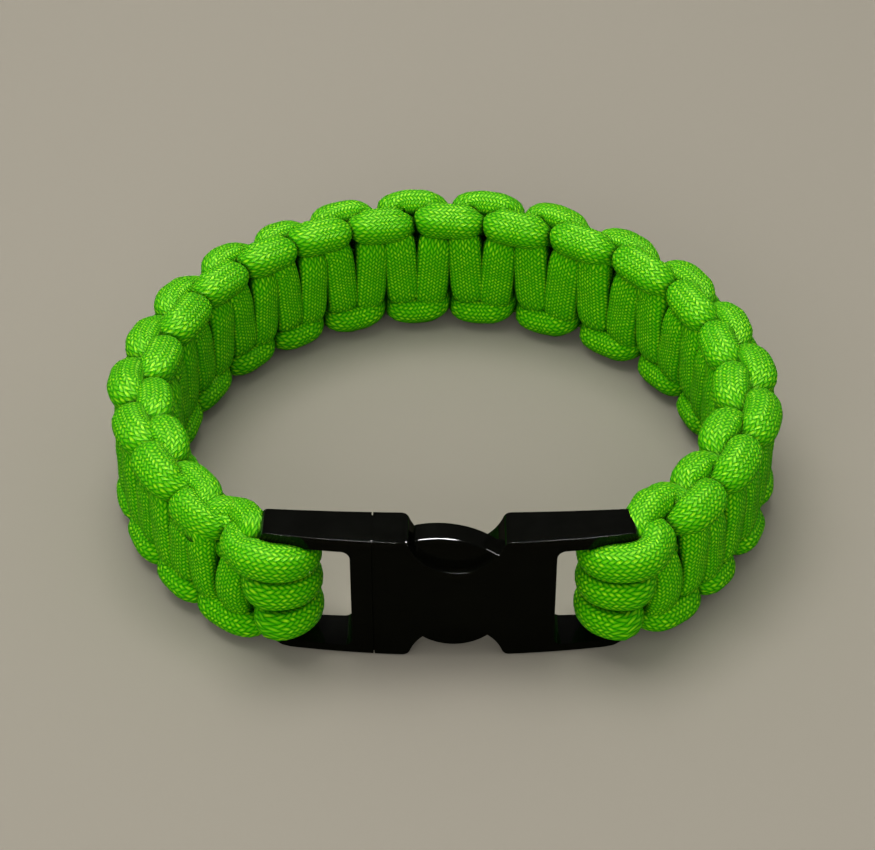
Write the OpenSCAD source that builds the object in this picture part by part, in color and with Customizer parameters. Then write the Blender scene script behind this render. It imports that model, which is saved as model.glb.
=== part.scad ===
/* [Loop] */
// Radius of the round back of the loop, to the middle of the band's thickness
loop_r = 37.5; // [33:0.5:42]
// How much smaller the radius of the loop's two sides is than that of its back
side_less = 3; // [2.5:0.25:6]
// How far inside the back's circle the buckle's two end bars lie
bar_inset = 3.75; // [2.5:0.25:4.5]

/* [Woven band] */
// Width of the band, edge to edge over the loops
band_w = 18.4; // [17:0.2:22]
// Thickness of the band over its transverse ribs
band_t = 8; // [7:0.1:10]
// Half knots in the whole band, one transverse rib each
half_knots = 40; // [32:4:48]
// Depth of the crease between two transverse ribs
rib_depth = 1; // [0.5:0.1:1.5]
// Depth of the crease between two edge loops, on the band's faces
loop_depth = 1.3; // [0.8:0.1:2]
// Depth of the notch between two edge loops, seen on the band's outline
notch_depth = 1.3; // [0.6:0.1:1.8]
// Width of the band where it meets the turns, as a share of its full width
end_share = 0.84; // [0.8:0.01:1]
// Distance of the last half knot's middle from the end bar's axis
last_bar = 3; // [2.6:0.1:4]

/* [Turns round the end bars] */
// Diameter of the cord
cord_d = 4; // [3.6:0.1:4.1]
// Turns side by side in each slot
turns = 3; // [2:1:3]
// Height of one turn, squashed by the slot
turn_h = 4.3; // [3.8:0.1:4.4]
// Length of the turns' straight legs, from the bar's axis to the band
leg_l = 2.2; // [2.1:0.1:3]

/* [Buckle] */
// Length of the fastened buckle over both end bars
buckle_l = 42; // [40:0.2:48]
// Height of the buckle, across the band
buckle_h = 16.9; // [16.2:0.1:19]
// Gap between the buckle's lower edge and the surface that the band stands on
buckle_low = 0.15; // [0:0.05:1]
// Thickness at the buckle's two ends, front to back
end_t = 3.4; // [3:0.1:4]
// How far the front face bows out between the ends
bow = 1.9; // [1:0.1:2.4]
// Height of the slots that the turns go through
slot_h = 13.4; // [13.2:0.1:14]
// Diameter of the two end bars
bar_d = 2.4; // [2:0.1:2.8]
// Length of the free part of the plug, from its end bar to the seam
plug_l = 12.5; // [11.5:0.1:13.5]
// Width of the plug's cross bar beside its slot
cross_w = 2.4; // [1.8:0.1:3]
// Length of the socket's slot and end bar together
tail_l = 9; // [8:0.1:10]
// Gap of the seam between plug and socket
seam_gap = 0.15; // [0.1:0.05:0.3]
// Rounding of the buckle's outer corners, seen from the front
corner_round = 0.7; // [0.4:0.1:0.9]
// Rounding of the slots' inner corners
slot_round = 1; // [0.5:0.1:1.5]

/* [Release cut-outs and buttons] */
// Radius of the curved cut-outs in the socket's two edges
cut_r = 5.6; // [5:0.1:7]
// Depth of the cut-outs
cut_depth = 4.4; // [3:0.1:4.6]
// Distance of the cut-outs from the buckle's middle, along it
cut_x = 0.8; // [0:0.1:1.5]
// Radius of the two buttons' curved outline, which is also how high they reach
button_r = 8.1; // [7.4:0.1:8.2]
// Distance of that curve's centre from the cut-outs' middle, towards the plug
button_shift = 1.4; // [0:0.1:2]
// Length of each button along the buckle
button_w = 9; // [8:0.1:9.6]
// How far the cut-outs' shoulders are broken back along the edge
shoulder = 0.8; // [0.4:0.1:1]
// Wall of the socket in front of and behind the prongs
wall = 1; // [0.8:0.05:1.1]
// Width of each prong
prong_w = 1.7; // [1.2:0.1:2]
// Width of the guide tongue between the prongs
tongue_w = 1.6; // [1.2:0.1:2]
// Free space beyond the ends of the buttons
end_play = 1; // [0.5:0.1:2]
// Clearance of the prongs, the end bars and the turns
fit = 0.15; // [0.1:0.05:0.2]

/* [Hidden] */
$fn = 48;
cord_green = [0.27, 0.72, 0.03];
buckle_black = [0.03, 0.03, 0.03];

// The loop's plan: a round back, and at each side a tighter arc that touches it and ends on the
// bar. The angle at which the two arcs touch follows from the bar's place.
side_r = loop_r - side_less;
bar_x = (buckle_l - bar_d) / 2;
bar_far = loop_r - bar_inset;
bar_drop = sqrt(bar_far * bar_far - bar_x * bar_x);
turn_r = bar_d / 2 + fit + cord_d;
loop_y = (bar_drop + turn_r - loop_r - band_t / 2) / 2;
bar_y = loop_y - bar_drop;
bar_angle = -atan2(bar_drop, bar_x);
side_cos = (side_less * side_less + bar_far * bar_far - side_r * side_r) / (2 * side_less * bar_far);
side_angle = bar_angle + acos(side_cos);
side_centre = [side_less * cos(side_angle), side_less * sin(side_angle)];
last_angle = atan2(-bar_drop - side_centre[1], bar_x - side_centre[0]);
back_l = loop_r * (90 - side_angle) * PI / 180;
side_l = side_r * (side_angle - last_angle) * PI / 180;
half_l = back_l + side_l;
woven_l = half_l - leg_l - fit;
knot_pitch = 2 * (half_l - last_bar) / (half_knots - 1);

// A place on the right half of the plan: x, y and the outward direction's angle
function right_place(s) =
    s < back_l
    ? let (a = 90 - s / loop_r * 180 / PI)
        [loop_r * cos(a), loop_y + loop_r * sin(a), a]
    : let (a = side_angle - (s - back_l) / side_r * 180 / PI)
        [side_centre[0] + side_r * cos(a), loop_y + side_centre[1] + side_r * sin(a), a];

// The same on either half, with the distance s counted from the middle of the back
function place(s) =
    let (p = right_place(abs(s)))
    s < 0 ? [-p[0], p[1], 180 - p[2]] : p;

// The band's cross-section, for one quarter of it. Across is a share of half the width, out a
// share of half the thickness. Rib, loop and notch say how much of each crease reaches the row.
//  across  out   rib  loop  notch
quarter = [
    [0.00, 1.00, 1.0, 0.0, 0.0],
    [0.30, 1.00, 1.0, 0.0, 0.0],
    [0.53, 0.90, 1.0, 0.0, 0.0],
    [0.60, 0.94, 0.3, 0.6, 0.0],
    [0.76, 1.00, 0.0, 1.0, 0.1],
    [0.92, 0.80, 0.0, 0.8, 0.7],
    [1.00, 0.42, 0.0, 0.3, 1.0],
    [0.96, 0.00, 0.0, 0.0, 0.5]
];
rows = len(quarter) - 1;
around = 4 * rows;
steps = 4;
end_k = woven_l / knot_pitch;
half_rings = ceil(end_k * steps);
rings = 2 * half_rings;

// Depth of a crease beside a round cord: 0 on the cord's crown and 1 at the crease
function crease(t) = 1 - sqrt(max(0, 1 - t * t));

// How far a place lies from the nearest crown, in half knots and as a share of the half spacing
function from_crown(k, first, spacing) =
    let (t = (k - first) / spacing)
    2 * abs(t - round(t));

// One point of the cross-section at k half knots from the middle: [out, across]
function section_point(k, i) =
    let (
        quad = floor(i / rows),
        step = i % rows,
        row = quarter[quad % 2 == 0 ? step : rows - step],
        side = quad < 2 ? 1 : -1,
        face = quad == 0 || quad == 3 ? 1 : -1,
        rib = crease(from_crown(k, 0.5, 1)),
        loop = crease(0.96 * from_crown(k, side * face > 0 ? 0 : 1, 2)),
        other = crease(0.96 * from_crown(k, side * face > 0 ? 1 : 0, 2)),
        notch = row[1] == 0 ? (loop + other) / 2 : loop,
        narrow = 1 - (1 - end_share) * max(0, abs(k) - end_k + 2) / 2,
        out = row[1] * band_t / 2 - row[2] * rib_depth * rib - row[3] * loop_depth * loop,
        across = (row[0] * band_w / 2 - row[4] * notch_depth * notch) * narrow
    )
    [face * out, side * across];

function band_point(ring, i) =
    let (
        k = max(-end_k, min(end_k, (ring - half_rings) / steps)),
        p = place(k * knot_pitch),
        q = section_point(k, i)
    )
    [p[0] + q[0] * cos(p[2]), p[1] + q[0] * sin(p[2]), band_w / 2 + q[1]];

module woven_band() {
    first = place(-woven_l);
    last = place(woven_l);
    points = [
        for (ring = [0:rings]) for (i = [0:around - 1]) band_point(ring, i),
        [first[0], first[1], band_w / 2],
        [last[0], last[1], band_w / 2]
    ];
    start_hub = (rings + 1) * around;
    faces = [
        for (ring = [0:rings - 1]) for (i = [0:around - 1])
            let (a = ring * around + i, b = ring * around + (i + 1) % around)
            each [[a, b, b + around], [a, b + around, a + around]],
        for (i = [0:around - 1]) [start_hub, (i + 1) % around, i],
        for (i = [0:around - 1])
            [start_hub + 1, rings * around + i, rings * around + (i + 1) % around]
    ];
    color(cord_green) polyhedron(points, faces);
}

// The buckle and the turns on its bars share their middle
buckle_z = buckle_low + buckle_h / 2;

// Half of the turns' section beside the bar: a flat inner side and one round back for each turn
module turn_section() {
    inner = bar_d / 2 + fit;
    stack = turns * turn_h;
    translate([inner, -stack / 2 + turn_h / 4]) square([cord_d * 0.62, stack - turn_h / 2]);
    for (i = [0:turns - 1])
        translate([inner + cord_d / 2, (i + 0.5) * turn_h - stack / 2])
        scale([1, turn_h / cord_d]) circle(d = cord_d);
}

module end_turns(side) {
    // The legs point along the band's own end
    lean = place(woven_l)[2] + 90;
    color(cord_green)
    translate([side * bar_x, bar_y, buckle_z])
    mirror([side < 0 ? 1 : 0, 0, 0])
    rotate([0, 0, lean]) {
        rotate([0, 0, 90]) rotate_extrude(angle = 180) turn_section();
        for (face = [0, 1])
            mirror([0, face, 0])
            rotate([90, 0, 90]) linear_extrude(leg_l) turn_section();
    }
}

module end_turns_left() {
    end_turns(-1);
}

module end_turns_right() {
    end_turns(1);
}

// Everything of the buckle is drawn about its middle, with its flat back at y = 0 and its front
// towards -Y
bow_r = (buckle_l * buckle_l / 4 + bow * bow) / (2 * bow);
buckle_t = end_t + bow;
left_x = -buckle_l / 2;
right_x = buckle_l / 2;
seam_x = left_x + plug_l;
over = 1;

module place_buckle() {
    color(buckle_black) translate([0, bar_y + end_t / 2, buckle_z]) children();
}

// Pushes a shape drawn in x and z from behind the back to in front of the front
module cut_through() {
    translate([0, over, 0]) rotate([90, 0, 0]) linear_extrude(buckle_t + 2 * over) children();
}

module rounded_box(x0, x1, h, r) {
    translate([x0 + r, -h / 2]) square([x1 - x0 - 2 * r, h]);
    translate([x0, -h / 2 + r]) square([x1 - x0, h - 2 * r]);
    for (x = [x0 + r, x1 - r]) for (z = [-1, 1])
        translate([x, z * (h / 2 - r)]) circle(r = r);
}

// The buckle's outline with its straight back and bowed front, cut off at two places along it
module bowed_block(x0, x1) {
    intersection() {
        translate([0, 0, -buckle_h / 2])
        linear_extrude(buckle_h) intersection() {
            translate([x0, -buckle_t]) square([x1 - x0, buckle_t]);
            translate([0, bow_r - buckle_t]) circle(r = bow_r, $fn = 360);
        }
        cut_through() rounded_box(left_x, right_x, buckle_h, corner_round);
    }
}

// The slot for the turns, and the space beyond it that the end bar stands in
module slot(x0, x1, end_x) {
    side = end_x < x0 ? -1 : 1;
    cut_through() {
        rounded_box(x0, x1, slot_h, slot_round);
        translate([side < 0 ? end_x - over : x1 - slot_round, -slot_h / 2])
        square([abs(end_x - (side < 0 ? x0 : x1)) + over + slot_round, slot_h]);
    }
}

// The bar reaches a little into both arms
module end_bar(side) {
    root = (buckle_h - slot_h) / 4;
    translate([side * bar_x, -end_t / 2, -slot_h / 2 - root])
    cylinder(d = bar_d, h = slot_h + 2 * root);
}

// The hollow in the socket for the prongs: it opens at the seam, and the buttons pass under its
// walls at their highest end
button_t = buckle_t - 2 * wall - 2 * fit;
button_x = cut_x - button_w / 2;
hollow_end = cut_x + button_w / 2 + end_play;
cut_z = buckle_h / 2 - cut_depth + cut_r;
hollow_top = cut_z - sqrt(cut_r * cut_r - button_w * button_w / 4) + 2 * fit;
mid_y = -buckle_t / 2;

// One button with its prong, on the upper side: a curved cap above a straight spring
module prong() {
    prong_z = buckle_h / 2 - cut_depth - prong_w - fit;
    translate([seam_x - over, mid_y - button_t / 2, prong_z])
    cube([button_x - seam_x + 2 * over, button_t, prong_w]);
    translate([0, mid_y + button_t / 2, 0]) rotate([90, 0, 0]) linear_extrude(button_t)
    intersection() {
        translate([cut_x - button_shift, 0]) circle(r = button_r, $fn = 96);
        translate([button_x, prong_z]) square([button_w, button_r]);
    }
}

module buckle_plug() {
    x1 = seam_x - seam_gap;
    place_buckle() {
        difference() {
            bowed_block(left_x - over, x1);
            slot(left_x + bar_d, x1 - cross_w, left_x);
        }
        end_bar(-1);
        prong();
        mirror([0, 0, 1]) prong();
        // The guide tongue in the middle
        translate([x1 - over, mid_y - button_t / 2, -tongue_w / 2])
        cube([hollow_end - end_play - x1 + over, button_t, tongue_w]);
    }
}

// A curved cut-out in the upper edge, with its two shoulders broken
module cut_out() {
    edge_x = sqrt(cut_r * cut_r - (cut_r - cut_depth) * (cut_r - cut_depth));
    top = buckle_h / 2;
    cut_through() translate([cut_x, 0]) {
        translate([0, cut_z]) circle(r = cut_r, $fn = 96);
        polygon([
            [-edge_x - shoulder, top + over],
            [-edge_x - shoulder, top],
            [-edge_x + shoulder, top - shoulder],
            [edge_x - shoulder, top - shoulder],
            [edge_x + shoulder, top],
            [edge_x + shoulder, top + over]
        ]);
    }
}

module buckle_socket() {
    place_buckle() {
        difference() {
            bowed_block(seam_x, right_x + over);
            slot(right_x - tail_l, right_x - bar_d, right_x);
            cut_out();
            mirror([0, 0, 1]) cut_out();
            translate([seam_x - over, mid_y - button_t / 2 - fit, -hollow_top])
            cube([hollow_end - seam_x + over, button_t + 2 * fit, 2 * hollow_top]);
        }
        end_bar(1);
    }
}

woven_band();
end_turns_left();
end_turns_right();
buckle_plug();
buckle_socket();
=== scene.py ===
import math
import bpy
import numpy as np
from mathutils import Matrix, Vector


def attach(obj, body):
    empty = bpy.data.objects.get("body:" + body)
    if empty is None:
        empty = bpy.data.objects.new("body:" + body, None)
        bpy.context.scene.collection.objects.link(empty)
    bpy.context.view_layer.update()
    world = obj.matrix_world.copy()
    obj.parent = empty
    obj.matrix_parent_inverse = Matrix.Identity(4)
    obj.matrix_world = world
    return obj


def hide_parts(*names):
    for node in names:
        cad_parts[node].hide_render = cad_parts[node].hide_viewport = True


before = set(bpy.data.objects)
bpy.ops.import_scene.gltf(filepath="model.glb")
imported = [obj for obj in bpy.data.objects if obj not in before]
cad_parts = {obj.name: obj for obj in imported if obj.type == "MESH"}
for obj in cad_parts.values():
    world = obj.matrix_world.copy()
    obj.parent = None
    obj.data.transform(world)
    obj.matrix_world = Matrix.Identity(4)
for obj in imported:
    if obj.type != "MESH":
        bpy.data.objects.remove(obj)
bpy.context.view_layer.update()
mm = 0.001

# The loop's plan as the part's source has it, in millimetres: a round back and, at each side,
# a tighter arc that touches it and ends on the buckle's end bar
plan = {
    "backRadius": 37.5,
    "sideRadius": 34.5,
    "barInset": 3.75,        # how far inside the back's circle the end bars lie
    "barX": 19.8,            # half the distance between the two end bars
    "barDiameter": 2.4,
    "bandThickness": 8.0,
    "bandWidth": 18.4,
    "cordDiameter": 4.0,
    "fit": 0.15,             # play between end bar and turns
    "lastBar": 3.0,          # from the end bar's axis to the middle of the last half knot
    "halfKnots": 40,
    "lean": -0.7,            # how far the back has settled to one side
    "leanPower": 0.7,        # power of the cosine that fades it towards the end bars
}

barFar = plan["backRadius"] - plan["barInset"]
barDrop = math.sqrt(barFar ** 2 - plan["barX"] ** 2)
turnReach = plan["barDiameter"] / 2 + plan["fit"] + plan["cordDiameter"]
loopY = (barDrop + turnReach - plan["backRadius"] - plan["bandThickness"] / 2) / 2
barY = loopY - barDrop
sideLess = plan["backRadius"] - plan["sideRadius"]
sideAngle = -math.atan2(barDrop, plan["barX"]) + math.acos(
    (sideLess ** 2 + barFar ** 2 - plan["sideRadius"] ** 2) / (2 * sideLess * barFar))
sideX, sideY = sideLess * math.cos(sideAngle), sideLess * math.sin(sideAngle)
lastAngle = math.atan2(-barDrop - sideY, plan["barX"] - sideX)
backLength = plan["backRadius"] * (math.pi / 2 - sideAngle)
halfLength = backLength + plan["sideRadius"] * (sideAngle - lastAngle)
knotPitch = 2 * (halfLength - plan["lastBar"]) / (plan["halfKnots"] - 1)
midZ = plan["bandWidth"] / 2


# A place along the plan for an array of distances from the middle of the back, negative to the
# left: the round back first, then the tighter arc, then straight on. Gives x, y and the
# outward direction's two parts.
def planPlace(distance):
    s = np.abs(distance)
    onBack = s < backLength
    angle = np.where(onBack, math.pi / 2 - s / plan["backRadius"],
                     sideAngle - (np.minimum(s, halfLength) - backLength) / plan["sideRadius"])
    radius = np.where(onBack, plan["backRadius"], plan["sideRadius"])
    beyond = np.maximum(s - halfLength, 0)
    x = np.where(onBack, 0, sideX) + radius * np.cos(angle) + beyond * np.sin(angle)
    y = loopY + np.where(onBack, 0, sideY) + radius * np.sin(angle) - beyond * np.cos(angle)
    side = np.where(distance < 0, -1.0, 1.0)
    lean = plan["lean"] * np.cos(np.minimum(s / halfLength, 1) * math.pi / 2) ** plan["leanPower"]
    return side * x + lean, y, side * np.cos(angle), np.sin(angle)


# Points given straight (along, across, out) are bent onto the plan: x and y by planPlace plus
# out times the outward direction, z by across from the band's middle
def bendToLoop(points):
    x, y, nx, ny = planPlace(points[:, 0])
    return np.stack([x + points[:, 2] * nx, y + points[:, 2] * ny, midZ + points[:, 1]], 1)


# Directions given straight are turned with the plan in the same way
def turnToLoop(points, directions):
    nx, ny = planPlace(points[:, 0])[2:]
    along, across, out = directions.T
    return np.stack([along * ny + out * nx, -along * nx + out * ny, across], 1)


# Points an equal length apart along a polyline
def evenly(points, count):
    run = np.concatenate([[0], np.cumsum(np.linalg.norm(np.diff(points, axis=0), axis=1))])
    at = np.linspace(0, run[-1], count)
    return np.stack([np.interp(at, run, points[:, k]) for k in range(points.shape[1])], 1)


# A smooth curve through a list of points (Catmull-Rom with centripetal spacing), evened out
def smoothCurve(points, count):
    p = np.asarray(points, float)
    p = np.concatenate([[2 * p[0] - p[1]], p, [2 * p[-1] - p[-2]]])
    times = np.concatenate([[0], np.cumsum(np.linalg.norm(np.diff(p, axis=0), axis=1) ** 0.5)])
    samples = 16 * len(p)
    at = np.linspace(times[1], times[-2], samples)
    i = np.clip(np.searchsorted(times, at, side="right") - 1, 1, len(p) - 3)
    t = [times[i + k] for k in (-1, 0, 1, 2)]
    q = [p[i + k] for k in (-1, 0, 1, 2)]

    def between(a, b, ta, tb):
        return a + (b - a) * ((at - ta) / (tb - ta))[:, None]

    a1, a2, a3 = (between(q[k], q[k + 1], t[k], t[k + 1]) for k in range(3))
    b1, b2 = between(a1, a2, t[0], t[2]), between(a2, a3, t[1], t[3])
    return evenly(between(b1, b2, t[1], t[2]), count)


# Ramp from 0 to 1 between two values, with a soft start and end
def ramp(low, high, x):
    t = np.clip((x - low) / (high - low), 0, 1)
    return t * t * (3 - 2 * t)


# Length of a polyline, whose first three columns are its places
def curveLength(points):
    return float(np.linalg.norm(np.diff(points[:, :3], axis=0), axis=1).sum())


# One half knot of the weave, straight: along in half knots, across and out in millimetres. The
# cord crosses the inner face, climbs over the other cord's root, lies as an edge loop on the
# outer face, and is tucked under the next edge loops on its way to the next crossing.
halfKnotGuide = [
    (0.00, 0.0, -2.35), (-0.05, 2.4, -2.4), (-0.09, 4.2, -2.15), (-0.14, 5.5, -1.2), (-0.17, 6.4, 0.2),
    (-0.05, 7.05, 1.6), (0.22, 7.2, 2.1), (0.55, 7.15, 2.15), (0.86, 7.0, 2.05), (1.12, 6.5, 1.3),
    (1.18, 5.5, 0.2), (1.14, 4.8, -1.0), (1.09, 3.9, -2.15), (1.05, 2.4, -2.4),
]
loopPart = slice(3, 12)   # the points of it that make the edge loop

# Middle of each inner edge loop of the upper edge, in millimetres from the middle of the back.
# Knots tied by hand lie closer together towards the buckle than at the back.
knotPlaces = [-85.8, -79.2, -71.2, -63.2, -54.4, -44.9, -35.0, -26.0, -17.7, -8.3,
              1.1, 10.9, 20.7, 31.4, 42.0, 51.4, 61.0, 70.2, 78.6, 85.8]

# How far single knots stray from that, in millimetres along, across and out, and how the edge
# loops change along the band
handmade = {
    "seed": 12,
    "crossing": (0.14, 0.05, 0.06),
    "edgeLoop": (0.16, 0.05, 0.08),
    # Share by which the upper edge's rows lie lower at the left and at the right, and the two
    # distances from the end bar between which that grows
    "lowerOuterRow": (0.36, 0.15, 20.0, 5.0),
    "lowerInnerRow": (0.20, 0.08, 22.0, 10.0),
    # How far the upper edge's inner row moves out at the left and at the right, and the two
    # distances from the middle of the back between which that grows
    "innerRowOut": (1.1, 0.5),
    "innerRowOver": (46.0, 66.0),
    # The same for the outer row, which moves in and down between the first two distances and
    # back between the last two
    "outerRowIn": (0.8, 0.9),
    "outerRowDown": 0.4,
    "outerRowOver": (8.0, 24.0, 50.0, 63.0),
    # Share by which loops are longer at the left, and the distances between which that grows
    "longer": (0.14, 25.0, 60.0),
    # The last outer loops: half knot, first point of its guide, how much farther the loop
    # reaches in millimetres, and the order in which that grows from point to point
    "lastLoops": [(-3, 5, 0.7, 1), (-2, 6, 1.6, 1), (1, 4, -1.3, -1)],
    "lastGrowth": (0.2, 1.0, 6),   # share at the first and at the last point, and their number
    "pressed": 0.94,               # the lower half's height, pressed on the table
}


# Places along the band for an array of half knot numbers: linear between the middles of the
# loops listed above, one for every second half knot, and evenly on beyond the last ones
def alongBand(number):
    loops = np.arange(len(knotPlaces)) * 2 + 0.5
    first = knotPlaces[0] + (number - loops[0]) * knotPitch
    last = knotPlaces[-1] + (number - loops[-1]) * knotPitch
    place = np.interp(number, loops, knotPlaces)
    return np.where(number < loops[0], first, np.where(number > loops[-1], last, place))


# The cord's points through a run of half knots, for one of the two cords. The outer cord is the
# inner one turned half a turn about the band's length, and every second half knot is mirrored
# across. firstPoint and lastPoint say where in the first and last half knot the cord is cut.
def wovenRun(outer, firstPoint, lastPoint):
    guide = np.array(halfKnotGuide)
    if outer:
        guide = guide * np.array([1, -1, -1])
    numbers = np.arange(-1, plan["halfKnots"])
    flip = np.where(numbers % 2 == 0, -1.0, 1.0)
    run = guide[None] * np.stack([np.ones(numbers.size), flip, np.ones(numbers.size)], 1)[:, None]
    loops = run[:, loopPart]   # a view: what moves the loops moves the run
    share, start, full = handmade["longer"]
    longer = 1 + share * ramp(start, full, -alongBand(numbers + 0.5))
    loops[:, :, 0] = 0.5 + (loops[:, :, 0] - 0.5) * longer[:, None]
    run[:, :, 0] = alongBand(run[:, :, 0] + numbers[:, None])
    run[:, :, 1] *= np.where(run[:, :, 1] < 0, handmade["pressed"], 1.0)
    lower = handmade["lowerInnerRow"] if outer else handmade["lowerOuterRow"]
    ends = ramp(*lower[2:], halfLength - np.abs(run[:, :, 0])) * (run[:, :, 1] > 0)
    run[:, :, 1] *= 1 - ends * np.where(run[:, :, 0] < 0, *lower[:2])
    distance, upper, atLeft = np.abs(loops[:, :, 0]), loops[:, :, 1] > 0, loops[:, :, 0] < 0
    if outer:
        side = ramp(*handmade["innerRowOver"], distance) * upper
        loops[:, :, 2] += side * np.where(atLeft, *handmade["innerRowOut"])
    else:
        start, full, fading, gone = handmade["outerRowOver"]
        side = ramp(start, full, distance) * ramp(gone, fading, distance) * upper
        loops[:, :, 2] -= side * np.where(atLeft, *handmade["outerRowIn"])
        loops[:, :, 1] -= side * handmade["outerRowDown"]
        growth = np.linspace(*handmade["lastGrowth"])
        for number, first, reach, order in handmade["lastLoops"]:
            run[number, first:first + len(growth), 0] += reach * growth[::order]
    stray = np.random.default_rng(handmade["seed"] + outer)
    atCrossing = stray.normal(size=(numbers.size + 1, 3)) * handmade["crossing"]
    atEdge = stray.normal(size=(numbers.size, 3)) * handmade["edgeLoop"]
    run[:, :loopPart.start] += atCrossing[:-1, None]
    loops += atEdge[:, None]
    run[:, loopPart.stop:] += atCrossing[1:, None]
    points = run.reshape(-1, 3)
    return points[firstPoint:len(points) - len(guide) + lastPoint]


# The three turns round each end bar, straight: radius of their middle line about the bar's
# axis, and each turn's place across the band on the outer and on the inner face
turns = {
    "radius": plan["barDiameter"] / 2 + plan["fit"] + plan["cordDiameter"] / 2,
    "top": (5.0, 3.2), "middle": (0.8, -0.6), "bottom": (-3.9, -4.3),
    "middleEarly": 0.3, "bottomEarly": 0.6,   # radians by which they are cut short
}


# Half a turn round the end bar from one face to the other: a half circle about the bar's axis,
# cut short where the cord comes off the outer face early
def halfTurn(turn, side, fromFace, early=0.0, count=7):
    t = np.linspace(early, math.pi, count)
    outward = fromFace * np.cos(t)
    across = turn[1] + (turn[0] - turn[1]) * (1 + outward) / 2
    r = turns["radius"]
    return np.stack([side * (halfLength + r * np.sin(t)), across, r * outward], 1)


# Both cords' ends, listed as distance from the end bar's axis, across and out. Right and left
# differ, because the knots have a hand. The inner cord reaches the top turn over the outer
# face; the outer cord hooks round the buckle's corner, makes the last bar and reaches the
# bottom turn on the inner face.
# A cut says where the weave takes over: the first point, and the last one from the last knot.
cordEnds = {
    "innerRight": [(3.8, 4.4, -1.2), (3.8, 5.0, -0.3), (3.4, 5.5, 0.8), (2.9, 5.7, 1.8),
                   (2.2, 5.5, 2.6), (1.3, 5.15, 3.2)],
    "innerLeft": [(0.9, 4.85, 3.35), (2.0, 4.75, 3.15), (3.0, 4.7, 2.5), (3.7, 4.7, 1.3),
                  (3.8, 4.5, -0.3), (3.6, 3.8, -1.8)],
    "innerHidden": [(1.4, 3.2, -3.1), (2.6, 3.3, -1.8), (4.4, 3.6, -0.6), (6.5, 4.4, -0.1),
                    (9.0, 4.6, 0.0)],
    "innerCut": (13, 3),
    "outerRight": [(5.4, 6.7, -1.7), (4.0, 6.7, -1.3), (2.6, 6.6, -0.8), (1.7, 6.3, -0.2),
                   (1.5, 5.8, 0.5), (1.9, 4.8, 1.0), (3.0, 3.2, 1.5), (3.6, 1.4, 2.2),
                   (3.9, -0.8, 2.6), (3.9, -2.8, 2.5), (3.6, -4.5, 1.9), (2.9, -5.4, 0.9),
                   (2.3, -5.2, -1.0), (1.3, -4.4, -3.0)],
    "outerLeft": [(1.5, -4.4, -3.0), (2.8, -4.9, -1.6), (3.4, -5.3, 0.2), (3.6, -4.3, 1.8),
                  (3.7, -2.6, 2.6), (3.6, -0.6, 2.7), (3.3, 1.6, 2.2), (2.8, 3.6, 1.5),
                  (2.4, 5.0, 0.9), (2.4, 5.8, 0.3), (3.0, 6.0, -0.4), (4.2, 5.8, -1.0),
                  (6.0, 5.3, -1.6)],
    "outerHidden": [(-0.9, -4.0, 1.9), (-0.6, -4.0, 1.0), (0.6, -3.8, 0.2), (4.0, -4.2, 0.0),
                    (8.0, -4.6, 0.0)],
    "outerCut": (23, -6),
}


# A list of an end's points, put at the right or left end of the band
def atEnd(points, side):
    return (np.array(points) * np.array([-1, 1, 1]) + np.array([halfLength, 0, 0])) * np.array([side, 1, 1])


# One woven cord from end to end: hidden end, turn, weave, turn, hidden end. The outer cord
# leaves its turns on the inner face, so it passes them the other way than the inner cord.
def wovenCord(outer):
    which = "outer" if outer else "inner"
    turn, early, way = (turns["bottom"], turns["bottomEarly"], 1) if outer else (turns["top"], 0.0, -1)
    hidden = cordEnds[which + "Hidden"]
    leftTurn = halfTurn(turn, -1, 1, early)[::way]
    rightTurn = halfTurn(turn, 1, 1, early)[::-way]
    run = wovenRun(outer, *cordEnds[which + "Cut"])
    return np.concatenate([atEnd(hidden[::-1], -1), leftTurn, atEnd(cordEnds[which + "Left"], -1), run,
                           atEnd(cordEnds[which + "Right"], 1), rightTurn, atEnd(hidden, 1)])


# The core: two runs side by side through the whole band, joined by the middle turn at each end
core = {
    "lane": 1.8,      # half the distance between the runs
    "fromBar": 8,     # millimetres from the end bar's axis to the straight stretch
    "points": 60,     # on the straight stretch
}


def coreCord():
    (front, back), lane = turns["middle"], core["lane"]
    outerLeg = [(5.6, lane, 0.0), (2.8, 1.4, 0.2), (0.9, front, 1.0), (0.3, front, 2.3)]
    innerLeg = [(1.0, back, -2.9), (2.0, back, -1.5), (3.4, -1.2, -0.1), (5.6, -lane, 0.0)]
    middleTurn = halfTurn(turns["middle"], 1, 1, turns["middleEarly"])
    right = np.concatenate([atEnd(outerLeg, 1), middleTurn, atEnd(innerLeg, 1)])
    along = np.linspace(core["fromBar"] - halfLength, halfLength - core["fromBar"], core["points"])
    top = np.stack([along, np.full(len(along), lane), np.zeros(len(along))], 1)
    bottom, left = top[::-1] * np.array([1, -1, 1]), right[::-1] * np.array([-1, 1, 1])
    return np.concatenate([top, right, bottom, left, top[:1]])


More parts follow.
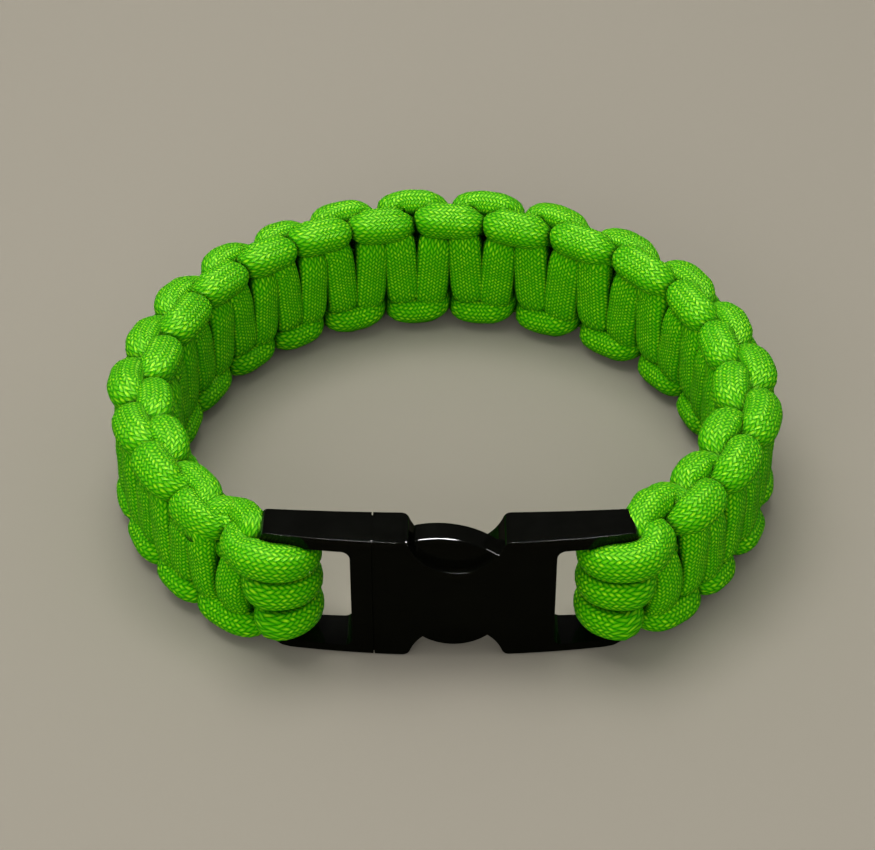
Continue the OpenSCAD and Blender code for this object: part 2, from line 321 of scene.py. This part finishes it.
# The cord's section, squashed where it lies in the weave: half sizes in millimetres, the short
# one outward, and squareness, where 2 is an ellipse and more is squarer
cordSection = {
    "crossing": (1.72, 2.50, 2.4),
    "edgeLoop": (2.05, 2.30, 2.8),
    "hidden": (1.60, 1.85, 2.2),     # where it passes through the band
    "turn": (2.20, 2.14, 2.3),       # round the end bars
    "core": (1.70, 2.30, 2.2),
    "turnFrom": (-2.2, -0.4),        # past the end bar's axis, where a turn begins
    "edgeFrom": (4.2, 6.6),          # across, where a crossing becomes an edge loop
    "hiddenOut": (2.2, 1.0),         # out and across, where it lies inside the band
    "hiddenAcross": ((4.0, 5.0), (7.2, 6.4)),
    "barrel": 0.06,                  # how much narrower a crossing gets towards the edges,
    "barrelFrom": (1.5, 4.5),        # between these distances across
    "usualStep": 8.8,                # a crossing is wider where the loops lie farther apart
    "clearLean": 0.35,               # least share of the outward direction across the cord
    "sides": 20,
    "spacing": 0.45,                 # from ring to ring
    "fineStep": 0.1,                 # of the path that the rings are spaced on
}


def unit(vectors):
    return vectors / (np.linalg.norm(vectors, axis=1, keepdims=True) + 1e-9)


# Outward direction, half sizes and squareness at each point of a straight path. Outward is away
# from the band's middle, as on a rounded rectangle of the band's section (powers of four), and
# away from the bar's axis on the turns. The sizes go from crossing to edge loop with the
# distance across.
def sectionAlong(path, kind):
    along, across, out = path.T
    beyond, fromMiddle = np.abs(along) - halfLength, np.abs(across)
    ones, zeros = np.ones(len(path)), np.zeros(len(path))
    facing = unit(np.stack([zeros, across ** 3 / (plan["bandWidth"] / 2) ** 4,
                            out ** 3 / (plan["bandThickness"] / 2) ** 4], 1))
    radial = unit(np.stack([np.sign(along) * np.maximum(beyond, 0), zeros, out], 1))
    onTurn = ramp(*cordSection["turnFrom"], beyond)[:, None]
    facing = unit(facing * (1 - onTurn) + radial * onTurn)
    if kind == "core":
        size = np.tile(np.array(cordSection["core"]), (len(path), 1))
    else:
        edge = ramp(*cordSection["edgeFrom"], fromMiddle)[:, None]
        inside = ramp(*cordSection["hiddenOut"], np.abs(out))[:, None]
        for limits in cordSection["hiddenAcross"]:
            inside = inside * ramp(*limits, fromMiddle)[:, None]
        curved = np.stack([ones, 1 + out / plan["sideRadius"], ones], 1)
        crossing = np.array(cordSection["crossing"]) * curved
        crossing[:, 1] *= 1 - cordSection["barrel"] * ramp(*cordSection["barrelFrom"], fromMiddle)
        crossing[:, 1] *= np.interp(along, knotPlaces, np.gradient(knotPlaces)) / cordSection["usualStep"]
        size = crossing * (1 - edge) + np.array(cordSection["edgeLoop"]) * edge
        size = size * (1 - inside) + np.array(cordSection["hidden"]) * inside
    size = size * (1 - onTurn) + np.array(cordSection["turn"]) * onTurn
    return facing, size


# A direction across the cord for each point of a path, each being the last one tilted by as
# much as the path bends
def carriedNormal(tangent):
    normal = np.zeros_like(tangent)
    start = np.cross(tangent[0], (0, 0, 1.0)) + 1e-6
    normal[0] = start / np.linalg.norm(start)
    for i in range(1, len(tangent)):
        v = normal[i - 1] - tangent[i] * normal[i - 1].dot(tangent[i])
        normal[i] = v / math.sqrt(v.dot(v))
    return normal


# A cord as a tube: rings along the path, each a superellipse whose short axis points outward.
# The UV map gives millimetres along the cord and its share of the way round.
def cordSurface(name, path, kind):
    dense = evenly(path, int(curveLength(path) / cordSection["fineStep"]))
    bent = bendToLoop(dense)
    count = int(curveLength(bent) / cordSection["spacing"])
    joined = evenly(np.concatenate([bent, dense], 1), 2 * count)
    run = np.concatenate([[0], np.cumsum(np.linalg.norm(np.diff(joined[:, :3], axis=0), axis=1))])
    at = np.linspace(0, run[-1], count)
    joined = np.stack([np.interp(at, run, joined[:, k]) for k in range(6)], 1)
    p, straight = joined[:, :3], joined[:, 3:]
    facing, size = sectionAlong(straight, kind)
    outward = turnToLoop(straight, facing)
    tangent = np.gradient(p, axis=0)
    tangent /= np.linalg.norm(tangent, axis=1, keepdims=True)
    normal = carriedNormal(tangent)
    binormal = np.cross(tangent, normal)
    # how far each ring is turned, taken only where the outward direction is clear
    flat = outward - tangent * (outward * tangent).sum(1)[:, None]
    turned = np.arctan2((flat * binormal).sum(1), (flat * normal).sum(1))
    known = np.linalg.norm(flat, axis=1) > cordSection["clearLean"]
    turned = np.interp(np.arange(count), np.arange(count)[known], np.unwrap(turned[known], period=math.pi))
    sides = cordSection["sides"]
    around = np.linspace(0, 2 * math.pi, sides, endpoint=False)
    local = around[None] - turned[:, None]
    power = size[:, 2:]
    cosine, sine = np.abs(np.cos(local) / size[:, :1]), np.abs(np.sin(local) / size[:, 1:2])
    reach = (cosine ** power + sine ** power) ** (-1 / power)
    ring = np.cos(around)[None, :, None] * normal[:, None] + np.sin(around)[None, :, None] * binormal[:, None]
    verts = (p[:, None] + reach[..., None] * ring).reshape(-1, 3)
    i = np.arange(count - 1)[:, None] * sides
    j = np.arange(sides)[None]
    k = (j + 1) % sides
    quads = np.stack([i + j, i + sides + j, i + sides + k, i + k], 2).reshape(-1, 4)
    here, ahead = at[:-1, None] + 0 * j, at[1:, None] + 0 * j
    near, far = j + 0 * i, j + 1 + 0 * i
    mesh = bpy.data.meshes.new(name)
    caps = [list(range(sides))[::-1], list(range((count - 1) * sides, count * sides))]
    mesh.from_pydata((verts * mm).tolist(), [], quads.tolist() + caps)
    uv = np.zeros((len(mesh.loops), 2), np.float32)
    uv[:quads.size, 0] = np.stack([here, ahead, ahead, here], 2).ravel()
    uv[:quads.size, 1] = np.stack([near, near, far, far], 2).ravel() / sides
    mesh.uv_layers.new(name="braid").data.foreach_set("uv", uv.ravel())
    mesh.polygons.foreach_set("use_smooth", np.ones(len(mesh.polygons), bool))
    mesh.update()
    obj = bpy.data.objects.new(name, mesh)
    bpy.context.scene.collection.objects.link(obj)
    print(name, "is", round(run[-1]), "mm long,", 2 * len(quads), "triangles")
    return obj


# One node of a group or material: the inputs by name or number are values or other sockets.
# Gives the node, so that its outputs can be taken.
def addNode(tree, kind, inputs=None, **settings):
    node = tree.nodes.new(kind)
    for key, value in settings.items():
        setattr(node, key, value)
    for key, value in (inputs or {}).items():
        if isinstance(value, bpy.types.NodeSocket):
            tree.links.new(value, node.inputs[key])
        else:
            node.inputs[key].default_value = value
    return node


def calc(tree, operation, *values):
    return addNode(tree, "ShaderNodeMath", dict(enumerate(values)), operation=operation).outputs[0]


def blend(tree, factor, first, second):
    node = addNode(tree, "ShaderNodeMix", {0: factor, 6: first, 7: second}, data_type="RGBA")
    return node.outputs[2]


def newGroup(name, outputs):
    tree = bpy.data.node_groups.new(name, "ShaderNodeTree")
    for label, kind in outputs:
        tree.interface.new_socket(name=label, in_out="OUTPUT", socket_type=kind)
    return tree


def newMaterial(name, **constants):
    material = bpy.data.materials.new(name)
    material.use_nodes = True
    shader = material.node_tree.nodes["Principled BSDF"]
    for key, value in constants.items():
        shader.inputs[key].default_value = value
    return material, material.node_tree, shader


# The braided sheath: yarns that go round the cord in both directions, each over two and under
# two. With a and b counting the yarns of the two directions, (floor a + floor b) modulo 4 says
# which one lies on top; its crown is the root of a sine across it and a sine along it.
sheath = {
    "yarns": 28.0,                          # in each direction
    "advance": 0.52,                        # millimetres along the cord from yarn to yarn
    # painted shade in the low gaps between the yarns
    "gapShade": (0.004, 0.16, 0.0002, 1),
    "yarn": (0.036, 0.385, 0.0006, 1),
    # painted highlight on the middle of each stitch's crown
    "paintedGlint": (0.38, 0.80, 0.012, 1),
    # painted shade in the crevices where strands meet
    "creviceShade": (0.0008, 0.035, 0.0002, 1),
    "shadeReach": 1.5,                    # millimetres
    "shadeOpen": (0.25, 0.75),            # shares of open sky from painted crevice shade to full colour
    "crownAlong": 0.6,                      # share of the crown that rises along a stitch
    "fibres": 4, "fibreHeight": 0.05,       # waves across a yarn
    "cover": (0.10, 0.60),                  # crown heights from painted gap shade to yarn colour
    "highlightStrength": (1.6, 0.65, 0.30),        # of a stitch's painted highlight: power, spread and least
    "highlightSpot": (2.5, 3.5),                     # how narrow the painted highlight is, across and along
    "roughness": (-0.12, 0.5),              # spread and most
    "relief": 0.09,                         # millimetres
    # share by which glossy rays see the cord in the painted gap shade, a painted dark reflection
    "paintedReflectionDark": 0.9,
}


def braidGroup():
    tree = newGroup("braidedSheath", (("Color", "NodeSocketColor"), ("Height", "NodeSocketFloat"),
                                      ("Roughness", "NodeSocketFloat")))
    place = addNode(tree, "ShaderNodeUVMap", uv_map="braid").outputs["UV"]
    parts = addNode(tree, "ShaderNodeSeparateXYZ", {0: place}).outputs
    roundCord = calc(tree, "MULTIPLY", parts[1], sheath["yarns"])
    along = calc(tree, "DIVIDE", parts[0], sheath["advance"])
    a, b = calc(tree, "ADD", roundCord, along), calc(tree, "SUBTRACT", roundCord, along)
    rowA, rowB = calc(tree, "FLOOR", a), calc(tree, "FLOOR", b)
    inA, inB = calc(tree, "SUBTRACT", a, rowA), calc(tree, "SUBTRACT", b, rowB)
    phase = calc(tree, "FLOORED_MODULO", calc(tree, "ADD", rowA, rowB), 4.0)
    second = calc(tree, "GREATER_THAN", phase, 1.5)
    swap = calc(tree, "SUBTRACT", inB, inA)
    lateral = calc(tree, "MULTIPLY_ADD", swap, second, inA)
    other = calc(tree, "SUBTRACT", calc(tree, "ADD", inA, inB), lateral)
    step = calc(tree, "MULTIPLY_ADD", second, -2.0, phase)
    share = calc(tree, "MULTIPLY", calc(tree, "ADD", step, other), 0.5)
    acrossCrown = calc(tree, "SQRT", calc(tree, "SINE", calc(tree, "MULTIPLY", lateral, math.pi)))
    alongCrown = calc(tree, "SINE", calc(tree, "MULTIPLY", share, math.pi))
    rise, least = sheath["crownAlong"], 1 - sheath["crownAlong"]
    crown = calc(tree, "MULTIPLY", acrossCrown, calc(tree, "MULTIPLY_ADD", alongCrown, rise, least))
    fibres = calc(tree, "SINE", calc(tree, "MULTIPLY", lateral, 2 * math.pi * sheath["fibres"]))
    height = calc(tree, "MULTIPLY_ADD", fibres, sheath["fibreHeight"], crown)
    # Each stitch has its own number, from which the strength of its painted highlight and its roughness come
    idA = calc(tree, "SUBTRACT", rowA, calc(tree, "MULTIPLY", step, second))
    idB = calc(tree, "SUBTRACT", rowB, calc(tree, "MULTIPLY", step, calc(tree, "SUBTRACT", 1.0, second)))
    stitch = addNode(tree, "ShaderNodeCombineXYZ", {0: idA, 1: idB, 2: second}).outputs[0]
    noise = addNode(tree, "ShaderNodeTexWhiteNoise", {"Vector": stitch}, noise_dimensions="3D")
    chance = noise.outputs["Value"]
    power, spread, dimmest = sheath["highlightStrength"]
    stitchHighlight = calc(tree, "MULTIPLY_ADD", calc(tree, "POWER", chance, power), spread, dimmest)
    spotAcross = calc(tree, "POWER", acrossCrown, sheath["highlightSpot"][0])
    spotAlong = calc(tree, "POWER", alongCrown, sheath["highlightSpot"][1])
    paintedGlint = calc(tree, "MULTIPLY", stitchHighlight, calc(tree, "MULTIPLY", spotAcross, spotAlong))
    low, high = sheath["cover"]
    cover = addNode(tree, "ShaderNodeMapRange", {0: crown, 1: low, 2: high}).outputs[0]
    # Painted shade: the gap colour where the crown is low, between the yarns
    color = blend(tree, cover, sheath["gapShade"], sheath["yarn"])
    # Painted highlight: the glint colour laid on the middle of each stitch's crown
    color = blend(tree, paintedGlint, color, sheath["paintedGlint"])
    rough = calc(tree, "MULTIPLY_ADD", chance, *sheath["roughness"])
    end = tree.nodes.new("NodeGroupOutput")
    tree.links.new(color, end.inputs["Color"])
    tree.links.new(height, end.inputs["Height"])
    tree.links.new(rough, end.inputs["Roughness"])
    return tree


def cordMaterial():
    shine = {"Specular IOR Level": 0.25, "Specular Tint": (0.5, 1.0, 0.05, 1), "IOR": 1.3}
    material, tree, shader = newMaterial("greenCord", **shine)
    braid = addNode(tree, "ShaderNodeGroup", node_tree=braidGroup()).outputs
    relief = {"Height": braid["Height"], "Strength": 1.0, "Distance": sheath["relief"] * mm}
    bump = addNode(tree, "ShaderNodeBump", relief)
    # Painted reflection: for glossy rays the colour goes towards the painted gap shade, so that mirrored in
    # the polished buckle the cord is dark, as the floor and surroundings below are
    glossy = addNode(tree, "ShaderNodeLightPath").outputs["Is Glossy Ray"]
    mirrored = calc(tree, "MULTIPLY", glossy, sheath["paintedReflectionDark"])
    # Painted shade: the colour goes darker where two strands press on each other, where the ambient occlusion
    # finds little open sky
    reach = sheath["shadeReach"] * mm
    sky = addNode(tree, "ShaderNodeAmbientOcclusion", {"Distance": reach}, samples=8).outputs["AO"]
    closed, clear = sheath["shadeOpen"]
    openness = addNode(tree, "ShaderNodeMapRange", {0: sky, 1: closed, 2: clear}).outputs[0]
    color = blend(tree, openness, sheath["creviceShade"], braid["Color"])
    tree.links.new(blend(tree, mirrored, color, sheath["gapShade"]), shader.inputs["Base Color"])
    tree.links.new(braid["Roughness"], shader.inputs["Roughness"])
    tree.links.new(bump.outputs[0], shader.inputs["Normal"])
    return material


print("laying the cords")
cordLook = cordMaterial()
for name, path, kind in (("cordInner", wovenCord(False), "woven"), ("cordOuter", wovenCord(True), "woven"),
                         ("coreCord", coreCord(), "core")):
    obj = cordSurface(name, smoothCurve(path, 24 * len(path)), kind)
    obj.data.materials.append(cordLook)
    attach(obj, "root")
    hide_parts("woven_band", "end_turns_left", "end_turns_right")

# The buckle's halves, in millimetres from the buckle's middle. The slot's lower side, the lower
# corners, the bent back and the buttons follow the real one more closely than the part's source.
buckle = {
    "length": 42.0, "height": 16.9, "low": 0.15,
    "endThickness": 3.4, "bow": 1.9, "backBow": 0.75,
    "slotHeight": 13.4, "slotLower": 0.7, "slotRound": 1.0, "cornerRound": 0.8, "lowerCorner": 2.8,
    "leastArm": 0.3, "leastRim": 0.6,   # what stays beside the slot and above the cut-outs' floor
    "plugLength": 12.5, "crossBar": 2.4, "tail": 9.0, "seamGap": 0.15,
    "cutRadius": 5.6, "cutDepth": 4.4, "cutX": 0.8, "shoulderRound": 0.9,
    "buttonWall": 1.15, "buttonBelow": 1.5,   # how far a button reaches down behind the rim
    # top, radius, distance left of the cut-out's middle, width
    "upperButton": (8.1, 10.5, 2.1, 9.4), "lowerButton": (7.9, 5.9, 0.26, 8.0),
    "tongueReach": (2.2, 4.0),            # into the plug and into the socket
    "tongueInset": (0.15, 0.25, 0.12),    # of its edges, its front and its back
    "barRoot": 0.5,                       # how far an end bar reaches into each arm
    "edgeRound": 0.48, "tongueRound": 0.2, "barRound": 0.1, "edgeAngle": 40, "edgeSegments": 3,
}
buckleZ = buckle["low"] + buckle["height"] / 2
halfBuckle = buckle["length"] / 2
thickness = buckle["endThickness"] + buckle["bow"]
backY = barY + buckle["endThickness"] / 2
seamX = -halfBuckle + buckle["plugLength"]


# The bowed front: its distance from the flat back, an arc over the buckle's length
def depthAt(x):
    radius = (halfBuckle ** 2 + buckle["bow"] ** 2) / (2 * buckle["bow"])
    return thickness - radius + np.sqrt(radius ** 2 - x ** 2)


# The back bends the same way: its distance behind the flat back, most at the two ends
def backAt(x):
    return buckle["backBow"] * (x / halfBuckle) ** 2


# Height of a rounded corner below its edge, for a distance from the corner's end
def rounding(distance, radius):
    d = np.clip(distance, 0, radius)
    return radius - np.sqrt(radius ** 2 - (radius - d) ** 2)


# Half height of the socket's outline: the curved cut-out is a circle, and each shoulder an arc
# that touches both the circle and the edge
def cutOutline(x):
    top = buckle["height"] / 2
    r, q = buckle["cutRadius"], buckle["shoulderRound"]
    centre = top - buckle["cutDepth"] + r
    shoulderZ = top - q
    shoulderX = math.sqrt((r + q) ** 2 - (centre - shoulderZ) ** 2)
    meets = shoulderX * r / (r + q)
    d = np.abs(x - buckle["cutX"])
    arc = centre - np.sqrt(np.maximum(r ** 2 - d ** 2, 0))
    shoulder = shoulderZ + np.sqrt(np.maximum(q ** 2 - (d - shoulderX) ** 2, 0))
    return np.where(d < meets, arc, np.where(d < shoulderX, shoulder, top))


# The faces of a plate: the front's grids, the same at the back turned over, and walls at the rim
def plateFaces(grids, rim, n):
    quads = np.concatenate([np.stack([g[:-1, :-1], g[1:, :-1], g[1:, 1:], g[:-1, 1:]], 2).reshape(-1, 4)
                            for g in grids])
    after = np.roll(rim, -1)
    walls = np.stack([after, rim, rim + n, after + n], 1)
    return np.concatenate([quads, quads[:, ::-1] + n, walls])


# A plate seen from the front as columns from low to high, with walls at its rim;
# frontY and rearY are the y of the two faces, rows the number of quads in the plate's height.
def plate(x, high, low, frontY, rearY, rows=6):
    t = np.linspace(0, 1, rows + 1)[None]
    z = low[:, None] * (1 - t) + high[:, None] * t
    xs = np.repeat(x[:, None], rows + 1, 1)
    front = np.stack([xs, np.repeat(frontY[:, None], rows + 1, 1), z], 2)
    rear = np.stack([xs, np.repeat(rearY[:, None], rows + 1, 1), z], 2)
    n = xs.size
    index = np.arange(n).reshape(xs.shape)
    rim = np.concatenate([index[:, 0], index[-1, 1:], index[-2::-1, -1], index[0, -2:0:-1]])
    points = np.concatenate([front.reshape(-1, 3), rear.reshape(-1, 3)])
    return points, plateFaces([index], rim, n)


# A half of the buckle: a body and two arms beside the slot. x runs from the arms' free end to
# the body's end, on the side given; the middle rows are left out over the slot.
def slottedPlate(x, high, low, inner, bodyFrom, rows=3, middleRows=6):
    t = np.linspace(0, 1, rows + 1)[None]
    below = np.minimum(inner + buckle["slotLower"], low - buckle["leastArm"])
    upper = inner[:, None] * (1 - t) + high[:, None] * t
    lower = below[:, None] * (1 - t) + low[:, None] * t
    m = np.linspace(0, 1, middleRows + 1)[None, 1:-1]
    middle = inner[bodyFrom:, None] * m - below[bodyFrom:, None] * (1 - m)
    zs = [upper.ravel(), -lower.ravel(), middle.ravel()]
    xs = [np.repeat(x, rows + 1), np.repeat(x, rows + 1), np.repeat(x[bodyFrom:], middleRows - 1)]
    xs, zs = np.concatenate(xs), np.concatenate(zs)
    n = xs.size
    top = np.arange(upper.size).reshape(upper.shape)
    bottom = top + upper.size
    inside = np.arange(middle.size).reshape(middle.shape) + 2 * upper.size
    centre = np.concatenate([bottom[bodyFrom:, :1], inside, top[bodyFrom:, :1]], 1)
    rim = np.concatenate([bottom[:, -1], bottom[-1, -2::-1], centre[-1, 1:], top[-1, 1:],
                          top[-2::-1, -1], top[0, -2::-1], top[1:bodyFrom + 1, 0],
                          centre[0, -2:0:-1], bottom[bodyFrom:0:-1, 0], bottom[0, :-1]])
    points = np.concatenate([np.stack([xs, -depthAt(xs), zs], 1), np.stack([xs, backAt(xs), zs], 1)])
    return points, plateFaces([top, bottom[:, ::-1], centre], rim, n)


# The plate as an object, with a Bevel that rounds every edge sharper than the edge angle. flip
# turns the faces over where the plate was mirrored.
def plasticPiece(name, points, faces, flip, width, nodes):
    mesh = bpy.data.meshes.new(name)
    placed = (points + np.array([0, backY, buckleZ])) * mm
    mesh.from_pydata(placed.tolist(), [], (faces[:, ::-1] if flip else faces).tolist())
    mesh.polygons.foreach_set("use_smooth", np.ones(len(mesh.polygons), bool))
    mesh.update()
    obj = bpy.data.objects.new(name, mesh)
    bpy.context.scene.collection.objects.link(obj)
    bevel = obj.modifiers.new("rounded", "BEVEL")
    bevel.width = width * mm
    bevel.segments = buckle["edgeSegments"]
    bevel.limit_method = "ANGLE"
    bevel.angle_limit = math.radians(buckle["edgeAngle"])
    bevel.harden_normals = True
    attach(obj, "root")
    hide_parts(*nodes)
    print(name, "has", len(faces), "faces")
    return obj


# Half height of an arm's inner side: the slot, with its rounded inner corner at the body
def slotSide(distanceToBody):
    return buckle["slotHeight"] / 2 - rounding(distanceToBody, buckle["slotRound"])


# A half of the buckle, the plug on side -1 and the socket on side 1, as columns from its outer
# end through the arms and the slot's round corner to the seam
def makeHalf(name, side, body, seam, armColumns, bodyColumns, node):
    end, r = side * halfBuckle, buckle["slotRound"]
    cornerTurn, slotTurn = np.linspace(0, math.pi / 2, 6), np.linspace(0, math.pi / 2, 7)
    cornerX = end - side * (1 - np.cos(cornerTurn)) * buckle["cornerRound"]
    armX = np.linspace(cornerX[-1], body + side * r, armColumns)[1:]
    slotX = body + side * r - side * np.sin(slotTurn) * r
    bodyX = np.linspace(body, seam, bodyColumns)[1:]
    x = np.concatenate([cornerX, armX, slotX[1:], bodyX])
    bodyFrom = len(x) - len(bodyX) - 1
    fromEnd, half = side * (end - x), buckle["height"] / 2
    rim = cutOutline(x) if side > 0 else half
    high = np.minimum(half - rounding(fromEnd, buckle["cornerRound"]), rim)
    low = np.minimum(half - rounding(fromEnd, buckle["lowerCorner"]), rim)
    inner = np.minimum(slotSide(np.maximum(side * (x - body), 0)), high - buckle["leastRim"])
    points, faces = slottedPlate(x, high, low, inner, bodyFrom)
    return plasticPiece(name, points, faces, side > 0, buckle["edgeRound"], (node,))


def makePlug():
    seam = seamX - buckle["seamGap"]
    return makeHalf("plugShell", -1, seam - buckle["crossBar"], seam, 9, 4, "buckle_plug")


def makeSocket():
    return makeHalf("socketShell", 1, halfBuckle - buckle["tail"], seamX, 7, 120, "buckle_socket")


# A release button: a curved cap behind the cut-out's rim, mirrored for the lower one
def makeButton(name, button, side):
    top, radius, shift, width = buckle[button]
    x = np.linspace(buckle["cutX"] - width / 2, buckle["cutX"] + width / 2, 40)
    high = top - radius + np.sqrt(radius ** 2 - (x - buckle["cutX"] + shift) ** 2)
    low = np.full_like(x, buckle["height"] / 2 - buckle["cutDepth"] - buckle["buttonBelow"])
    wall = buckle["buttonWall"]
    points, faces = plate(x, high, low, np.full_like(x, wall - thickness), np.full_like(x, -wall))
    points = points * np.array([1, 1, side])
    return plasticPiece(name, points, faces, side < 0, buckle["edgeRound"], ("buckle_plug",))


# The guide tongue, a flat bar that reaches from the plug into the socket and closes the seam
def makeTongue():
    intoPlug, intoSocket = buckle["tongueReach"]
    edge, front, rear = buckle["tongueInset"]
    x = np.linspace(seamX - intoPlug, seamX + intoSocket, 8)
    high = np.full_like(x, buckle["height"] / 2 - edge)
    points, faces = plate(x, high, -high, front - depthAt(x), np.full_like(x, -rear))
    return plasticPiece("guideTongue", points, faces, False, buckle["tongueRound"], ("buckle_plug",))


# The end bar between the arms, a round rod
def makeEndBar(name, side, node):
    t = np.linspace(0, 2 * math.pi, 24, endpoint=False)
    r = plan["barDiameter"] / 2
    z = np.linspace(-1, 1, 9) * (buckle["slotHeight"] / 2 + buckle["barRoot"])
    ring = np.stack([side * plan["barX"] + r * np.cos(t), -buckle["endThickness"] / 2 + r * np.sin(t)], 1)
    points = np.concatenate([np.tile(ring, (len(z), 1)), np.repeat(z, len(t))[:, None]], 1)
    i = np.arange(len(z) - 1)[:, None] * len(t)
    j = np.arange(len(t))[None]
    k = (j + 1) % len(t)
    faces = np.stack([i + j, i + k, i + k + len(t), i + j + len(t)], 2).reshape(-1, 4)
    return plasticPiece(name, points, faces, False, buckle["barRound"], (node,))


# Polished black plastic: faint moulding mottle and fine handling marks
plastic = {
    "mottle": {"Scale": 900.0, "Detail": 3.0},
    "marks": {"Scale": 260.0, "Detail": 6.0, "Roughness": 0.7},
    "dark": (0.0006, 0.0007, 0.0004, 1),
    "marked": (0.0022, 0.0024, 0.0012, 1),
    "roughness": (0.08, 0.06),              # spread with the marks, and least
    "relief": 0.01, "reliefStrength": 0.25,   # millimetres, and share
}


def plasticGroup():
    tree = newGroup("mouldedPlastic", (("Color", "NodeSocketColor"), ("Roughness", "NodeSocketFloat"),
                                       ("Height", "NodeSocketFloat")))
    place = addNode(tree, "ShaderNodeTexCoord").outputs["Object"]
    mottle = addNode(tree, "ShaderNodeTexNoise", {"Vector": place, **plastic["mottle"]}).outputs[0]
    marks = addNode(tree, "ShaderNodeTexNoise", {"Vector": place, **plastic["marks"]}).outputs[0]
    color = blend(tree, marks, plastic["dark"], plastic["marked"])
    rough = calc(tree, "MULTIPLY_ADD", marks, *plastic["roughness"])
    end = tree.nodes.new("NodeGroupOutput")
    tree.links.new(color, end.inputs["Color"])
    tree.links.new(rough, end.inputs["Roughness"])
    tree.links.new(mottle, end.inputs["Height"])
    return tree


def plasticMaterial():
    material, tree, shader = newMaterial("blackPlastic", **{"Specular IOR Level": 0.4})
    moulded = addNode(tree, "ShaderNodeGroup", node_tree=plasticGroup()).outputs
    relief = {"Height": moulded["Height"], "Strength": plastic["reliefStrength"],
              "Distance": plastic["relief"] * mm}
    bump = addNode(tree, "ShaderNodeBump", relief)
    tree.links.new(moulded["Color"], shader.inputs["Base Color"])
    tree.links.new(moulded["Roughness"], shader.inputs["Roughness"])
    tree.links.new(bump.outputs[0], shader.inputs["Normal"])
    return material


print("moulding the buckle")
plasticLook = plasticMaterial()
for piece in (makePlug(), makeSocket(),
              makeButton("buttonUpper", "upperButton", 1), makeButton("buttonLower", "lowerButton", -1),
              makeTongue(), makeEndBar("endBarLeft", -1, "buckle_plug"),
              makeEndBar("endBarRight", 1, "buckle_socket")):
    piece.data.materials.append(plasticLook)

# The studio. As in one with dark cards, glossy rays meet a darker floor and darker surroundings.
studio = {
    "floorHalf": 2, "floorRoughness": 0.8,
    "floor": (0.29, 0.265, 0.215, 1),
    "floorMirrored": (0.022, 0.020, 0.014, 1),
    "surround": 0.54, "surroundMirrored": 0.03,
    # place and size in metres, watts, and whether the light is only seen in glossy surfaces
    "overheadLight": ((-0.10, 0.12, 0.60), (0.50, 0.35), 3.0, False),
    "stripLight": ((0.0, 0.10, 0.62), (0.45, 0.14), 48.0, True),
    "frontFill": ((-0.15, -0.65, 0.30), (0.5, 0.3), 2.0, False),
}

print("setting up floor, light and camera")
f = studio["floorHalf"]
floorMesh = bpy.data.meshes.new("floor")
floorMesh.from_pydata([(-f, -f, 0), (f, -f, 0), (f, f, 0), (-f, f, 0)], [], [(0, 1, 2, 3)])
floor = bpy.data.objects.new("floor", floorMesh)
bpy.context.scene.collection.objects.link(floor)
floorLook, floorTree, floorShader = newMaterial("paleFloor", **{
    "Roughness": studio["floorRoughness"], "Specular IOR Level": 0.0})
floorRays = addNode(floorTree, "ShaderNodeLightPath").outputs["Is Glossy Ray"]
floorColor = blend(floorTree, floorRays, studio["floor"], studio["floorMirrored"])
floorTree.links.new(floorColor, floorShader.inputs["Base Color"])
floorMesh.materials.append(floorLook)

world = bpy.data.worlds.new("studio")
bpy.context.scene.world = world
world.use_nodes = True
background = world.node_tree.nodes["Background"]
background.inputs["Color"].default_value = (1, 1, 1, 1)
worldRays = addNode(world.node_tree, "ShaderNodeLightPath").outputs["Is Glossy Ray"]
darker = studio["surroundMirrored"] - studio["surround"]
worldStrength = calc(world.node_tree, "MULTIPLY_ADD", worldRays, darker, studio["surround"])
world.node_tree.links.new(worldStrength, background.inputs["Strength"])


# A rectangular light turned to the middle of the floor, which either lights the scene or is
# only seen in glossy surfaces
def softLight(name, place, size, power, mirroredOnly):
    data = bpy.data.lights.new(name, "AREA")
    data.shape = "RECTANGLE"
    data.size, data.size_y = size
    data.energy = power
    obj = bpy.data.objects.new(name, data)
    obj.visible_diffuse, obj.visible_glossy = not mirroredOnly, mirroredOnly
    obj.location = place
    obj.rotation_euler = (Vector((0, 0, 0)) - Vector(place)).to_track_quat("-Z", "Y").to_euler()
    bpy.context.scene.collection.objects.link(obj)


for name in ("overheadLight", "stripLight", "frontFill"):
    softLight(name, *studio[name])

camera = {
    "aim": (-1.3, barY + 27.49, 9.35),   # millimetres, as the distance, lens and sensor
    "elevation": 38.0,
    "distance": 270.0,
    "lens": 90.1,
    "sensor": 36.0,
    "nearest": 0.01,                     # metres
}
tilt = math.radians(camera["elevation"])
aim = Vector(camera["aim"]) * mm
eye = aim + Vector((0, -math.cos(tilt), math.sin(tilt))) * camera["distance"] * mm
cameraData = bpy.data.cameras.new("camera")
cameraData.lens = camera["lens"]
cameraData.sensor_width = camera["sensor"]
cameraData.clip_start = camera["nearest"]
cameraObject = bpy.data.objects.new("camera", cameraData)
cameraObject.location = eye
cameraObject.rotation_euler = (aim - eye).to_track_quat("-Z", "Y").to_euler()
bpy.context.scene.collection.objects.link(cameraObject)
bpy.context.scene.camera = cameraObject
bpy.context.scene.view_settings.view_transform = "Standard"
